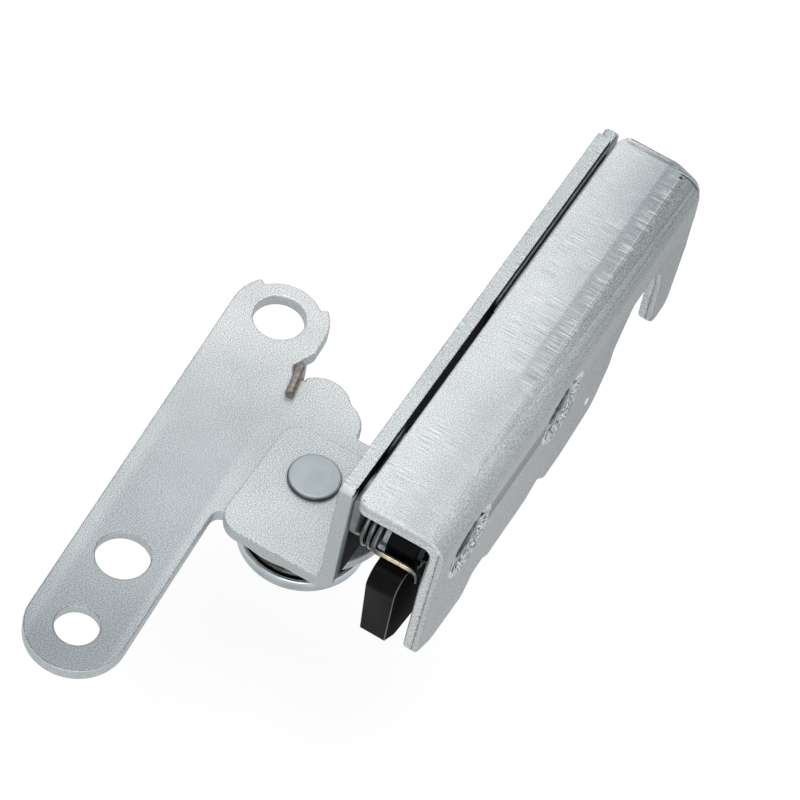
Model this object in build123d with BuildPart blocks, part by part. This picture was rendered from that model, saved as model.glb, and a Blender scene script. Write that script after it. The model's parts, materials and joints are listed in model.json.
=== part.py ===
"""Door latch: a folded cover and its hinge bracket, a sprung mounting arm, and a sprung catch lever.

Millimetres. The origin is the centre of the front threaded hole, half-way through its wall.
+X runs along the cover towards its hooked end, +Y goes across it towards the arm, and +Z is up,
along the arm's pivot. The cover's web is the top of the latch.
"""
import os
from math import acos, atan2, cos, degrees, hypot, radians, sin, sqrt

from build123d import *

# Sheet, fits and clearances
sheet = 3.0
bend_inner_r = 1.6
sharp_bend_inner_r = 1.0
running_gap = 0.05
seat_gap = 0.03
clear_gap = 0.3

# Cover: web and flange folded from one sheet, with a rolled end wall
cover_length = 107.0
cover_width = 19.0
cover_corner_r = 2.4
rear_corner_r = 3.6
rear_bend_r = 1.6
end_wall_depth = 14.0

# Seam across the cover's bend, just before the end wall
seam_from_end = 3.05
seam_width = 0.4
seam_across = 4.9
seam_depth = 2.2

# Threaded holes in the flange, each in a pressed-in dimple
thread_core_r = 3.4
thread_mouth = 0.5
thread_from_end = 14.0
thread_depth = 14.0
thread_pitch = 37.0
dimple_r = 7.7
dimple_floor_r = 5.0
dimple_depth = 1.5
dimple_boss_r = 6.6
pip_r = 0.8
pip_from_end = 66.0
pip_depth = 28.6

# Flange outline: distances from the cover's front end, and depths below the web's top
flange_lean = 1.8
nose_tip_depth = 32.4
nose_r = 1.8
nose_depth = 36.9
nose_to = 19.2
relief_depth = 33.0
first_relief_at = 22.8
second_relief_at = 46.8
middle_depth = 34.9
hump_from = 51.0
hump_to = 70.3
hump_depth = 37.4
hump_end_depth = 35.0
ramp_from = 75.6
ramp_depth = 22.6
recess_from = 81.3
recess_to = 89.8
recess_depth = 14.4
hook_root = 94.0
hook_root_depth = 18.4
hook_from = 96.1
hook_length = 38.1
hook_tip_width = 8.2
hook_outer_depth = 22.0

# Side plate: the cover's free side, under the web
side_sheet = 2.0
side_overlap = 0.8
side_front = 1.7
side_end_gap = 1.8
side_depth = 22.5
side_heel_depth = 12.0
side_heel_run = 9.0
window_from = 21.0
window_to = 55.2
window_depth = 14.0

# Hinge bracket: standing plate and the ear bent from its lower edge
plate_front = 1.1
plate_end_gap = 3.0
plate_corner = 0.9
plate_lug_length = 4.8
plate_lug_drop = 2.9
plate_lug_r = 1.4
plate_depth_rear = 24.0
ear_depth = 30.0
ear_length = 28.9
ear_reach = 22.5
ear_corner_r = 4.6

# Arm pivot
pivot_from_end = 20.1
pivot_from_plate = 11.8
rivet_r = 4.0
rivet_head_r = 5.3
rivet_head_height = 1.3
tail_head_r = 6.4
tail_head_height = 1.5
thrust_washer_r = 8.0
thrust_washer = 0.4
lower_washer = 0.6
bush_wall = 1.5

# Mounting arm, in its own directions: along the bar, and across it from the pivot
arm_rest_angle = 3.5
bar_width = 20.2
bar_offset = 23.85
lower_hole_at = -50.3
lower_hole_r = 4.2
middle_hole_spacing = 18.2
middle_hole_r = 5.2
upper_hole_at = 33.4
upper_hole_r = 5.2
upper_end_r = 8.6
upper_end_sector = 93.0
boss_r = 17.3
boss_fillet_r = 2.2
boss_flat_at = 15.3
boss_flat_from = -2.0
web_to = 22.4
lobe_at = (18.8, 8.0)
lobe_r = 6.5
step_at = (15.8, 4.4)
step_r = 6.6
notch_corner = (24.3, 16.3)
notch_side = (22.4, 15.0)
notch_mouth = (29.8, 13.5)
notch_corner_r = 1.0
leg_in_notch = (24.7, 14.6)

# Arm torsion spring and what carries it
arm_wire_r = 1.0
arm_coil_r = 10.8
wire_sides = 8
arm_coil_turns = 5
arm_leg_bend_r = 2.0
arm_leg_rise = 0.15
arm_leg_over = 7.9
arm_leg_over_angle = 191.0
cup_r = 12.95
cup_wall = 1.0
cup_depth = 2.6
cup_rim_chamfer = 0.35
cup_slot_width = 3.0
spool_r = 8.6
spool_length = 12.0

# Lever pin, and what sits on it
pin_r = 2.5
pin_from_end = 7.5
pin_depth = 13.3
pin_head_r = 4.2
pin_head_height = 1.6
pin_end_inset = 1.7
pin_tip_chamfer = 0.3
groove_r = 1.9
clip_r = 4.4
clip = 0.5
clip_inset = 2.2
pin_washer = 0.3
lever_bush_r = 3.6

# Catch lever, its steel cheek, and its spring
lever_inset = 3.3
lever_width = 6.1
lever_taper = 0.7
lever_front = -3.6
lever_front_lean = 0.7
lever_top_depth = 13.75
lever_front_r = 3.6
lever_nose_depth = 31.8
lever_belly_at = 2.0
lever_belly_depth = 36.1
lever_heel_at = 11.8
lever_heel_depth = 38.6
lever_hub_r = 4.6
cheek_sheet = 1.0
cheek_front = 4.2
cheek_depth = 29.0
lever_wire_r = 0.7
lever_coil_r = 4.7
lever_coil_turns = 2
lever_coil_pitch = 1.45
lever_leg_bend_r = 0.9
lever_tail_leg = 5.0
lever_leg_x = 1.4
lever_hook_drop = 2.4

# Rivets that hold the side plate to the bracket
plate_rivet_r = 2.0
plate_rivet_head_r = 3.6
plate_rivet_head_height = 1.4
plate_rivets = {
    "front_plate_rivet": (28.0, 18.3),
    "middle_plate_rivet": (0.58 * cover_length, 12.5),
    "rear_plate_rivet": (cover_length - 12.0, 12.5),
}

# Places worked out from the sizes above
front = -thread_from_end
top = thread_depth
bend_outer_r = bend_inner_r + sheet
sharp_bend_outer_r = sharp_bend_inner_r + sheet
web_under = top - sheet
cover_rear = front + cover_length
flange_face = -dimple_depth - sheet / 2
flange_inside = flange_face + sheet
cover_left = flange_face + cover_width
side_inner = cover_left - side_overlap
side_outer = side_inner + side_sheet
plate_length = cover_length - plate_end_gap - plate_front
plate_inner = side_outer
plate_outer = plate_inner + sheet
ear_top = top - ear_depth
ear_under = ear_top - sheet
pivot_x = front + pivot_from_end
pivot_y = plate_outer + pivot_from_plate
arm_top = ear_under - thrust_washer
arm_under = arm_top - sheet
spool_top = arm_under - lower_washer
cup_floor = spool_top - spool_length
cup_under = cup_floor - cup_wall
pin_x = front + pin_from_end
pin_z = top - pin_depth
pin_end = flange_inside + pin_end_inset
clip_at = flange_inside + clip_inset
lever_right = flange_inside + lever_inset
lever_left = lever_right + lever_width
cheek_left = lever_left + cheek_sheet


def side_plane(y):
    """Plane that looks along +Y; what is extruded from it goes towards the flange."""
    return Plane.XZ.offset(-y)


def at(from_end, depth):
    """Point of a side view, from its distance behind the cover's front end and its depth below the web."""
    return (front + from_end, top - depth)


def arm_point(along, across):
    """Point of the plan view, from its place along and across the arm, both measured from the pivot."""
    turn = radians(arm_rest_angle)
    return (
        pivot_x + along * cos(turn) - across * sin(turn),
        pivot_y + along * sin(turn) + across * cos(turn),
    )


def winding(plane, pitch, turns, radius):
    """Helical wire round a plane's normal, which starts on the plane's X direction."""
    return plane.location * Helix(pitch, pitch * turns, radius)


# Cover: the folded section, trimmed to the flange's outline
thread_places = [at(thread_from_end, thread_depth), at(thread_from_end + thread_pitch, thread_depth)]

with BuildPart() as cover:
    with BuildSketch(Plane.YZ.offset(front - flange_lean)):
        with BuildLine():
            Polyline(
                (cover_left, web_under),
                (cover_left, top),
                (flange_face, top),
                (flange_face, top - hook_length),
                (flange_inside, top - hook_length),
                (flange_inside, web_under),
                close=True,
            )
        make_face()
    extrude(amount=cover_length + flange_lean)
    inner_bend = cover.edges().filter_by(Axis.X).filter_by_position(Axis.Y, flange_inside, flange_inside)
    outer_bend = cover.edges().filter_by(Axis.X).filter_by_position(Axis.Y, flange_face, flange_face)
    fillet(inner_bend.sort_by(Axis.Z)[-1], bend_inner_r)
    fillet(outer_bend.sort_by(Axis.Z)[-1], bend_outer_r)

    with BuildSketch(side_plane(cover_left)) as outline:
        with BuildLine():
            Polyline(
                at(0, 0),
                at(0, bend_outer_r),
                at(-flange_lean, nose_tip_depth),
                at(nose_to / 4, nose_depth - 0.7),
                at(nose_to - 1.6, nose_depth + 0.1),
                at(first_relief_at - 1.8, relief_depth),
                at(first_relief_at + 1.8, relief_depth),
                at(first_relief_at + 4.2, middle_depth),
                at(second_relief_at - 4.5, middle_depth),
                at(second_relief_at, relief_depth),
                at(hump_from, hump_depth),
                at(hump_from + 7.0, hump_depth),
                at(hump_to, hump_end_depth),
                at(ramp_from, ramp_depth + 4.4),
                at(ramp_from + 0.3, ramp_depth),
                at(recess_from, recess_depth),
                at(recess_to, recess_depth),
                at(hook_root, hook_root_depth),
                at(hook_from - 0.5, hook_root_depth + 5.6),
                at(hook_from, hook_length),
                at(hook_from + hook_tip_width, hook_length),
                at(cover_length, hook_outer_depth),
                at(cover_length, 0),
                close=True,
            )
        make_face()
        rounded_corners = [
            (at(-flange_lean, nose_tip_depth), nose_r),
            (at(nose_to / 4, nose_depth - 0.7), 8.0),
            (at(nose_to - 1.6, nose_depth + 0.1), 3.0),
            (at(first_relief_at - 1.8, relief_depth), 1.4),
            (at(first_relief_at + 1.8, relief_depth), 1.4),
            (at(first_relief_at + 4.2, middle_depth), 2.0),
            (at(second_relief_at - 4.5, middle_depth), 4.0),
            (at(second_relief_at, relief_depth), 0.8),
            (at(hump_from, hump_depth), 2.0),
            (at(hump_from + 7.0, hump_depth), 12.0),
            (at(hump_to, hump_end_depth), 6.0),
            (at(ramp_from, ramp_depth + 4.4), 5.0),
            (at(ramp_from + 0.3, ramp_depth), 3.0),
            (at(recess_from, recess_depth), 2.6),
            (at(recess_to, recess_depth), 6.0),
            (at(hook_root, hook_root_depth), 1.0),
            (at(hook_from, hook_length), 3.8),
            (at(hook_from + hook_tip_width, hook_length), 2.8),
            (at(cover_length, 0), rear_bend_r),
        ]
        for corner, corner_r in rounded_corners:
            fillet(outline.vertices().sort_by_distance(corner)[0], corner_r)
    extrude(amount=cover_width, mode=Mode.INTERSECT)

    # End wall, bent down from the web inside the folded section
    with BuildSketch(side_plane(cover_left)):
        with Locations(at(cover_length - sheet / 2, sheet)):
            Rectangle(sheet, end_wall_depth - sheet, align=(Align.CENTER, Align.MAX))
    extrude(amount=cover_width - sheet)

    # Seam and its small relief, where the bend ends
    seam_x = cover_rear - seam_from_end
    with BuildSketch(Plane.XY.offset(top)):
        with Locations((seam_x, flange_face)):
            Rectangle(seam_width, seam_across, align=(Align.CENTER, Align.MIN))
        with Locations((seam_x - 2 * seam_width, flange_face + seam_across - seam_width)):
            Rectangle(2 * seam_width, seam_width)
            Circle(seam_width)
    extrude(amount=-seam_depth, mode=Mode.SUBTRACT)

    # Plan corners of the web and of the end wall
    web_corners = cover.edges().filter_by(Axis.Z).filter_by_position(Axis.Y, cover_left, cover_left)
    fillet(web_corners.sort_by(Axis.X)[0], cover_corner_r)
    with BuildSketch(Plane.XY.offset(top)):
        with Locations((cover_rear, cover_left)):
            Rectangle(2 * rear_corner_r, 2 * rear_corner_r)
        with Locations((cover_rear - rear_corner_r, cover_left - rear_corner_r)):
            Circle(rear_corner_r, mode=Mode.SUBTRACT)
            Rectangle(
                2 * rear_corner_r, 2 * rear_corner_r,
                align=(Align.MAX, Align.CENTER), mode=Mode.SUBTRACT,
            )
            Rectangle(
                2 * rear_corner_r, 2 * rear_corner_r,
                align=(Align.CENTER, Align.MAX), mode=Mode.SUBTRACT,
            )
    extrude(amount=-end_wall_depth, mode=Mode.SUBTRACT)

    # Dimples, pressed in from outside, with the thread through their floors
    dimple_floor = flange_face + dimple_depth
    boss_end = flange_inside + dimple_depth
    for thread_x, thread_z in thread_places:
        with BuildSketch(Plane((thread_x, 0, thread_z))):
            with BuildLine():
                Polyline(
                    (0, flange_inside - seat_gap),
                    (dimple_boss_r + dimple_depth, flange_inside - seat_gap),
                    (dimple_boss_r, boss_end),
                    (0, boss_end),
                    close=True,
                )
            make_face()
        revolve(axis=Axis((thread_x, 0, thread_z), (0, 1, 0)))
        with BuildSketch(Plane((thread_x, 0, thread_z))):
            with BuildLine():
                Polyline(
                    (0, flange_face),
                    (dimple_r, flange_face),
                    (dimple_floor_r, dimple_floor),
                    (thread_core_r + thread_mouth, dimple_floor),
                    (thread_core_r, dimple_floor + thread_mouth),
                    (thread_core_r, boss_end),
                    (0, boss_end),
                    close=True,
                )
            make_face()
        revolve(axis=Axis((thread_x, 0, thread_z), (0, 1, 0)), mode=Mode.SUBTRACT)
    with BuildSketch(side_plane(flange_face)):
        with Locations(at(pip_from_end, pip_depth)):
            Circle(pip_r)
    extrude(amount=-pip_r, mode=Mode.SUBTRACT)
cover.part.label = "housing_cover"

# Side plate, with the window in its upper edge and the pin's hole
with BuildPart() as side:
    with BuildSketch(side_plane(side_outer)) as side_outline:
        with BuildLine():
            Polyline(
                at(side_front, sheet),
                at(side_front, side_heel_depth),
                at(side_heel_run, side_depth),
                at(cover_length - sheet - side_end_gap - 6.0, side_depth),
                at(cover_length - sheet - side_end_gap, side_depth - 9.0),
                at(cover_length - sheet - side_end_gap, sheet),
                at(window_to, sheet),
                at(window_to, window_depth),
                at(window_from, window_depth),
                at(window_from, sheet),
                close=True,
            )
        make_face()
        window_corners = side_outline.vertices().sort_by_distance(
            at((window_from + window_to) / 2, window_depth))[0:2]
        fillet(window_corners, 3.0)
        heel = side_outline.vertices().sort_by_distance(at(side_front, side_heel_depth))[0:1]
        fillet(heel, 2.5)
    extrude(amount=side_sheet)
    with BuildSketch(side_plane(side_outer)):
        with Locations((pin_x, pin_z)):
            Circle(pin_r + seat_gap)
        with Locations(*[at(*place) for place in plate_rivets.values()]):
            Circle(plate_rivet_r + seat_gap)
    extrude(amount=side_sheet, mode=Mode.SUBTRACT)
side.part.label = "side_plate"

# Hinge bracket: standing plate with its rear lug, and the ear
with BuildPart() as bracket:
    with BuildSketch(side_plane(plate_outer)) as plate_outline:
        with BuildLine():
            Polyline(
                at(plate_front + plate_corner, 0),
                at(plate_front, plate_corner),
                at(plate_front, ear_depth + sheet),
                at(plate_front + ear_length, ear_depth + sheet),
                at(plate_front + ear_length, ear_depth - 1.5),
                at(plate_front + 0.6 * plate_length, ear_depth - 1.5),
                at(plate_front + plate_length + plate_lug_length, plate_depth_rear - 4.0),
                at(plate_front + plate_length + plate_lug_length, plate_lug_drop),
                at(plate_front + plate_length, plate_lug_drop),
                at(plate_front + plate_length, 0),
                close=True,
            )
        make_face()
        lug_corner = plate_outline.vertices().sort_by_distance(
            at(plate_front + plate_length + plate_lug_length, plate_lug_drop))[0:1]
        fillet(lug_corner, plate_lug_r)
    extrude(amount=sheet)
    with BuildSketch(Plane.XY.offset(ear_top)) as ear_outline:
        with Locations((front + plate_front, plate_inner)):
            Rectangle(ear_length, sheet + ear_reach, align=(Align.MIN, Align.MIN))
        ear_corners = ear_outline.vertices().group_by(Axis.Y)[-1]
        fillet(ear_corners, ear_corner_r)
    extrude(amount=-sheet)
    fold = bracket.edges().filter_by(Axis.X)
    fillet(fold.sort_by_distance((front + 15, plate_outer, ear_top))[0], sharp_bend_inner_r)
    fold = bracket.edges().filter_by(Axis.X)
    fillet(fold.sort_by_distance((front + 15, plate_inner, ear_under))[0], sharp_bend_outer_r)
    with BuildSketch(Plane.XY.offset(ear_top)):
        with Locations((pivot_x, pivot_y)):
            Circle(rivet_r + seat_gap)
    extrude(amount=-sheet, mode=Mode.SUBTRACT)
    with BuildSketch(side_plane(plate_outer)):
        with Locations((pin_x, pin_z)):
            Circle(pin_r + seat_gap)
        with Locations(*[at(*place) for place in plate_rivets.values()]):
            Circle(plate_rivet_r + seat_gap)
    extrude(amount=sheet, mode=Mode.SUBTRACT)
bracket.part.label = "hinge_bracket"

# Mounting arm: a bar with two round ends, the pivot boss beside it, and the notched lobe
with BuildPart() as arm:
    arm_plane = Plane((pivot_x, pivot_y, arm_top)).rotated((0, 0, arm_rest_angle))
    with BuildSketch(arm_plane) as arm_outline:
        with Locations((0, bar_offset)):
            with Locations((lower_hole_at, 0), (upper_hole_at, 0)):
                Circle(bar_width / 2)
            with Locations(((lower_hole_at + upper_hole_at) / 2, 0)):
                Rectangle(upper_hole_at - lower_hole_at, bar_width)
        # The upper end steps in over the sector that looks along the bar
        half_sector = radians(upper_end_sector / 2)
        sector_x = upper_hole_at + bar_width * cos(half_sector)
        sector_y = bar_width * sin(half_sector)
        with BuildLine():
            Polyline(
                (upper_hole_at, bar_offset),
                (sector_x, bar_offset + sector_y),
                (upper_hole_at + 2 * bar_width, bar_offset),
                (sector_x, bar_offset - sector_y),
                close=True,
            )
        make_face(mode=Mode.SUBTRACT)
        with Locations((upper_hole_at, bar_offset)):
            Circle(upper_end_r)
        Circle(boss_r)
        with Locations((web_to, lobe_at[1])):
            Rectangle(web_to, bar_offset - lobe_at[1], align=(Align.MAX, Align.MIN))
        with Locations(lobe_at):
            Circle(lobe_r)
        with Locations(step_at):
            Circle(step_r)
        with Locations((boss_flat_at, boss_flat_from)):
            Rectangle(boss_r, boss_r, align=(Align.MIN, Align.MAX), mode=Mode.SUBTRACT)
        # The notch for the spring's leg, open beside the lobe
        notch_foot_y = bar_offset - bar_width / 2 - notch_corner_r
        with BuildLine():
            Polyline(
                (notch_side[0], notch_foot_y),
                notch_side,
                notch_corner,
                notch_mouth,
                (notch_mouth[0], notch_foot_y),
                close=True,
            )
        make_face(mode=Mode.SUBTRACT)
        rounded_corners = [
            ((-sqrt(boss_r**2 - (bar_offset - bar_width / 2) ** 2), bar_offset - bar_width / 2), boss_fillet_r),
            (notch_corner, notch_corner_r),
            (notch_side, notch_corner_r / 2),
            ((web_to - 0.9, lobe_at[1] - 5.5), 1.5),
            ((boss_flat_at, boss_flat_from), 1.1),
        ]
        for radius in (bar_width / 2, upper_end_r):
            for turn in (half_sector, -half_sector):
                step = (upper_hole_at + radius * cos(turn), bar_offset + radius * sin(turn))
                rounded_corners.append((step, 0.6))
        for corner, corner_r in rounded_corners:
            fillet(arm_outline.vertices().sort_by_distance(corner)[0], corner_r)
    extrude(amount=-sheet)
    with BuildSketch(arm_plane):
        Circle(rivet_r + running_gap + bush_wall + seat_gap)
        with Locations((lower_hole_at, bar_offset)):
            Circle(lower_hole_r)
        with Locations((lower_hole_at + middle_hole_spacing, bar_offset)):
            Circle(middle_hole_r)
        with Locations((upper_hole_at, bar_offset)):
            Circle(upper_hole_r)
    extrude(amount=-sheet, mode=Mode.SUBTRACT)
arm.part.label = "arm_plate"


def ring(name, plane, outer_r, inner_r, thickness):
    """Flat ring or plain bush, from a plane and against that plane's normal."""
    with BuildPart() as piece:
        with BuildSketch(plane):
            Circle(outer_r)
            Circle(inner_r, mode=Mode.SUBTRACT)
        extrude(amount=-thickness)
    piece.part.label = name
    return piece.part


def pivot_plane(z):
    """Level plane on the arm's pivot."""
    return Plane((pivot_x, pivot_y, z))


pivot_bush = ring(
    "pivot_bush", pivot_plane(arm_top), rivet_r + running_gap + bush_wall, rivet_r + running_gap, sheet)
upper_thrust_washer = ring(
    "upper_thrust_washer", pivot_plane(ear_under), thrust_washer_r, rivet_r + running_gap,
    thrust_washer - running_gap)
lower_thrust_washer = ring(
    "lower_thrust_washer", pivot_plane(arm_under - running_gap), thrust_washer_r, rivet_r + running_gap,
    lower_washer - running_gap)
spring_spool = ring(
    "spring_spool", pivot_plane(spool_top), spool_r, rivet_r + seat_gap, spool_length)

# Pivot rivet: low head on the ear, tail upset under the cup
with BuildPart() as rivet:
    with BuildSketch(Plane.XZ) as rivet_half:
        with BuildLine():
            Polyline(
                (0, ear_top + rivet_head_height),
                (rivet_head_r, ear_top + rivet_head_height),
                (rivet_head_r, ear_top),
                (rivet_r, ear_top),
                (rivet_r, cup_under),
                (tail_head_r, cup_under),
                (tail_head_r - 1.2, cup_under - tail_head_height),
                (0, cup_under - tail_head_height),
                close=True,
            )
        make_face()
    revolve(axis=Axis.Z)
    chamfer(rivet.edges().filter_by(GeomType.CIRCLE).sort_by(Axis.Z)[-1], 0.4)
pivot_rivet = rivet.part.moved(Location((pivot_x, pivot_y, 0)))
pivot_rivet.label = "pivot_rivet"

# Spring cup: shallow pressed dish with a slot in its rim for the spring's lower leg
slot_angle = -60.0
with BuildPart() as cup:
    with BuildSketch(Plane.XZ):
        with BuildLine():
            Polyline(
                (rivet_r + seat_gap, cup_under),
                (cup_r, cup_under),
                (cup_r, cup_floor + cup_depth),
                (cup_r - cup_wall, cup_floor + cup_depth),
                (cup_r - cup_wall, cup_floor),
                (rivet_r + seat_gap, cup_floor),
                close=True,
            )
        make_face()
    revolve(axis=Axis.Z)
    chamfer(cup.edges().filter_by(GeomType.CIRCLE).group_by(Axis.Z)[0].sort_by(SortBy.RADIUS)[-1], 0.8)
    chamfer(cup.edges().filter_by(GeomType.CIRCLE).group_by(Axis.Z)[-1].sort_by(SortBy.RADIUS)[-1], cup_rim_chamfer)
    with BuildSketch(Plane.XY.offset(cup_floor)):
        with PolarLocations(cup_r, 1, start_angle=slot_angle):
            Rectangle(4 * cup_wall, cup_slot_width)
    extrude(amount=cup_depth, mode=Mode.SUBTRACT)
spring_cup = cup.part.moved(Location((pivot_x, pivot_y, 0)))
spring_cup.label = "spring_cup"

# Arm spring: the coil, its upper leg out to the notch and over the arm, and its lower leg
notch_x, notch_y = arm_point(*leg_in_notch)
notch_reach = hypot(notch_x - pivot_x, notch_y - pivot_y)
leg_angle = degrees(atan2(notch_y - pivot_y, notch_x - pivot_x) - acos(arm_coil_r / notch_reach))
upper_wire_z = arm_under - clear_gap - arm_wire_r - arm_leg_rise
lower_wire_z = cup_floor + clear_gap + arm_wire_r
coil_pitch = (upper_wire_z - lower_wire_z) / arm_coil_turns

coil_plane = Plane((pivot_x, pivot_y, lower_wire_z)).rotated((0, 0, leg_angle))
coil_wire = winding(coil_plane, coil_pitch, arm_coil_turns, arm_coil_r)
coil_end = coil_wire @ 1
notch_foot = Vector(notch_x, notch_y, coil_end.Z + arm_leg_rise)
leg_start = coil_end + (notch_foot - coil_end) * 0.4
leg_start.Z = notch_foot.Z
over = radians(arm_leg_over_angle)
over_z = arm_top + arm_wire_r + running_gap

with BuildPart() as coil:
    coil_start = coil_wire @ 0
    outward = (coil_start.X - pivot_x, coil_start.Y - pivot_y, 0)
    with BuildSketch(Plane(coil_start, x_dir=outward, z_dir=coil_wire % 0)):
        RegularPolygon(arm_wire_r, wire_sides)
    sweep(path=coil_wire, is_frenet=True)
    with BuildLine() as upper_leg:
        Spline(coil_end, leg_start, tangents=(coil_wire % 1, notch_foot - leg_start))
        FilletPolyline(
            leg_start,
            notch_foot,
            (notch_x, notch_y, over_z),
            (notch_x + arm_leg_over * cos(over), notch_y + arm_leg_over * sin(over), over_z),
            radius=arm_leg_bend_r,
        )
    outward = (coil_end.X - pivot_x, coil_end.Y - pivot_y, 0)
    with BuildSketch(Plane(coil_end, x_dir=outward, z_dir=coil_wire % 1)):
        Circle(arm_wire_r * cos(radians(180 / wire_sides)))
    sweep(path=upper_leg.line)
coil.part.label = "arm_spring"

# Lever pin: headed outside the bracket, grooved for its clip inside the cover
with BuildPart() as pin:
    with BuildSketch(side_plane(plate_outer + pin_head_height)):
        with Locations((pin_x, pin_z)):
            Circle(pin_head_r)
    extrude(amount=pin_head_height)
    chamfer(pin.edges().filter_by(GeomType.CIRCLE).sort_by(Axis.Y)[-1], 0.5)
    with BuildSketch(side_plane(plate_outer)):
        with Locations((pin_x, pin_z)):
            Circle(pin_r)
    extrude(amount=plate_outer - pin_end)
    chamfer(pin.edges().filter_by(GeomType.CIRCLE).sort_by(Axis.Y)[0], pin_tip_chamfer)
    with BuildSketch(side_plane(clip_at + clip)):
        with Locations((pin_x, pin_z)):
            Circle(pin_r + 1.0)
            Circle(groove_r, mode=Mode.SUBTRACT)
    extrude(amount=clip, mode=Mode.SUBTRACT)
pin.part.label = "lever_pin"

with BuildPart() as e_clip:
    with BuildSketch(side_plane(clip_at + clip)):
        with Locations((pin_x, pin_z)):
            Circle(clip_r)
            Circle(pin_r + 0.7, mode=Mode.SUBTRACT)
            Rectangle(clip_r * 2, clip_r, align=(Align.CENTER, Align.MAX), mode=Mode.SUBTRACT)
        with Locations((pin_x, pin_z)):
            with PolarLocations((groove_r + seat_gap + pin_r + 0.7) / 2 + 0.4, 3, start_angle=10, angular_range=160,
                                endpoint=True):
                Rectangle(pin_r + 1.5 - groove_r, 1.6)
        with Locations((pin_x, pin_z)):
            Circle(groove_r + seat_gap, mode=Mode.SUBTRACT)
    extrude(amount=clip)
e_clip.part.label = "pin_clip"


def pin_plane(y):
    """Plane across the lever pin that looks towards the arm."""
    return Plane((pin_x, y, pin_z), x_dir=(1, 0, 0), z_dir=(0, 1, 0))


pin_washer_ring = ring(
    "pin_washer", pin_plane(lever_right - running_gap), pin_head_r, pin_r + seat_gap,
    lever_right - running_gap - clip_at - clip - seat_gap)
spring_sleeve = ring(
    "spring_sleeve", pin_plane(side_inner), lever_bush_r, pin_r + seat_gap,
    side_inner - cheek_left - running_gap)
lever_bush = ring(
    "lever_bush", pin_plane(cheek_left), lever_bush_r, pin_r + running_gap, cheek_left - lever_right)

# Catch lever: moulded nose, heel and hub
with BuildPart() as lever:
    with BuildSketch(side_plane(lever_left)) as lever_outline:
        with BuildLine():
            Polyline(
                at(lever_front + lever_front_lean, lever_nose_depth),
                at(lever_front, lever_top_depth),
                at(pin_from_end, lever_top_depth),
                at(lever_heel_at, lever_top_depth + 2.0),
                at(lever_heel_at, lever_heel_depth),
                at(lever_belly_at, lever_belly_depth),
                close=True,
            )
        make_face()
        nose_top = lever_outline.vertices().sort_by_distance(at(lever_front, lever_top_depth))[0]
        fillet(nose_top, lever_front_r)
        belly = lever_outline.vertices().sort_by_distance(at(lever_belly_at, lever_belly_depth))[0]
        fillet(belly, 4.0)
        heel_foot = lever_outline.vertices().sort_by_distance(at(lever_heel_at, lever_heel_depth))[0]
        fillet(heel_foot, 1.5)
        with Locations((pin_x, pin_z)):
            Circle(lever_hub_r)
        with Locations((pin_x, pin_z)):
            Circle(lever_bush_r + seat_gap, mode=Mode.SUBTRACT)
    extrude(amount=lever_width)
    # The side towards the coil narrows downwards
    with BuildSketch(Plane.YZ.offset(front - cover_width)):
        with BuildLine():
            Polyline(
                (lever_left, top - lever_top_depth - lever_front_r),
                (lever_left - lever_taper, top - lever_nose_depth),
                (lever_left - lever_taper, top - 2 * lever_nose_depth),
                (lever_left + lever_taper, top - 2 * lever_nose_depth),
                (lever_left + lever_taper, top - lever_top_depth - lever_front_r),
                close=True,
            )
        make_face()
    extrude(amount=cover_width + cheek_front, mode=Mode.SUBTRACT)
lever.part.label = "catch_lever"

with BuildPart() as cheek:
    with BuildSketch(side_plane(cheek_left)):
        with Locations((pin_x, pin_z)):
            Circle(lever_hub_r)
        with BuildLine():
            Polyline(
                at(cheek_front, pin_depth),
                at(lever_heel_at, pin_depth),
                at(lever_heel_at, cheek_depth),
                at(cheek_front + 2.0, cheek_depth),
                at(cheek_front, cheek_depth - 4.0),
                close=True,
            )
        make_face()
        with Locations((pin_x, pin_z)):
            Circle(lever_bush_r + seat_gap, mode=Mode.SUBTRACT)
    extrude(amount=cheek_sheet)
cheek.part.label = "lever_cheek"

# Lever spring: the coil on its sleeve, a leg across the lever's top, and a leg down the side plate
leg_x = front + lever_leg_x
leg_z = top - lever_top_depth + lever_wire_r + running_gap
leg_reach = hypot(leg_x - pin_x, leg_z - pin_z)
take_off = atan2(leg_z - pin_z, leg_x - pin_x) - acos(lever_coil_r / leg_reach)
first_turn_y = cheek_left + clear_gap + lever_wire_r
small_plane = Plane((pin_x, first_turn_y, pin_z), x_dir=(cos(take_off), 0, sin(take_off)), z_dir=(0, 1, 0))
small_wire = winding(small_plane, lever_coil_pitch, lever_coil_turns, lever_coil_r)

with BuildPart() as small_coil:
    small_start = small_wire @ 0
    small_end = small_wire @ 1
    outward = (small_start.X - pin_x, 0, small_start.Z - pin_z)
    with BuildSketch(Plane(small_start, x_dir=outward, z_dir=small_wire % 0)):
        RegularPolygon(lever_wire_r, wire_sides)
    sweep(path=small_wire, is_frenet=True)
    hook_y = lever_right - running_gap - lever_wire_r
    with BuildLine() as hook:
        FilletPolyline(
            small_wire @ 0,
            (leg_x, first_turn_y, leg_z),
            (leg_x, hook_y, leg_z),
            (leg_x, hook_y, leg_z - lever_hook_drop),
            radius=lever_leg_bend_r,
        )
    with BuildSketch(Plane(small_start, x_dir=outward, z_dir=small_wire % 0)):
        RegularPolygon(lever_wire_r, wire_sides)
    sweep(path=hook.line)
    outward = (small_end.X - pin_x, 0, small_end.Z - pin_z)
    with BuildSketch(Plane(small_end, x_dir=outward, z_dir=small_wire % 1)):
        RegularPolygon(lever_wire_r, wire_sides)
    extrude(amount=lever_tail_leg)
small_coil.part.label = "lever_spring"

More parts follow.
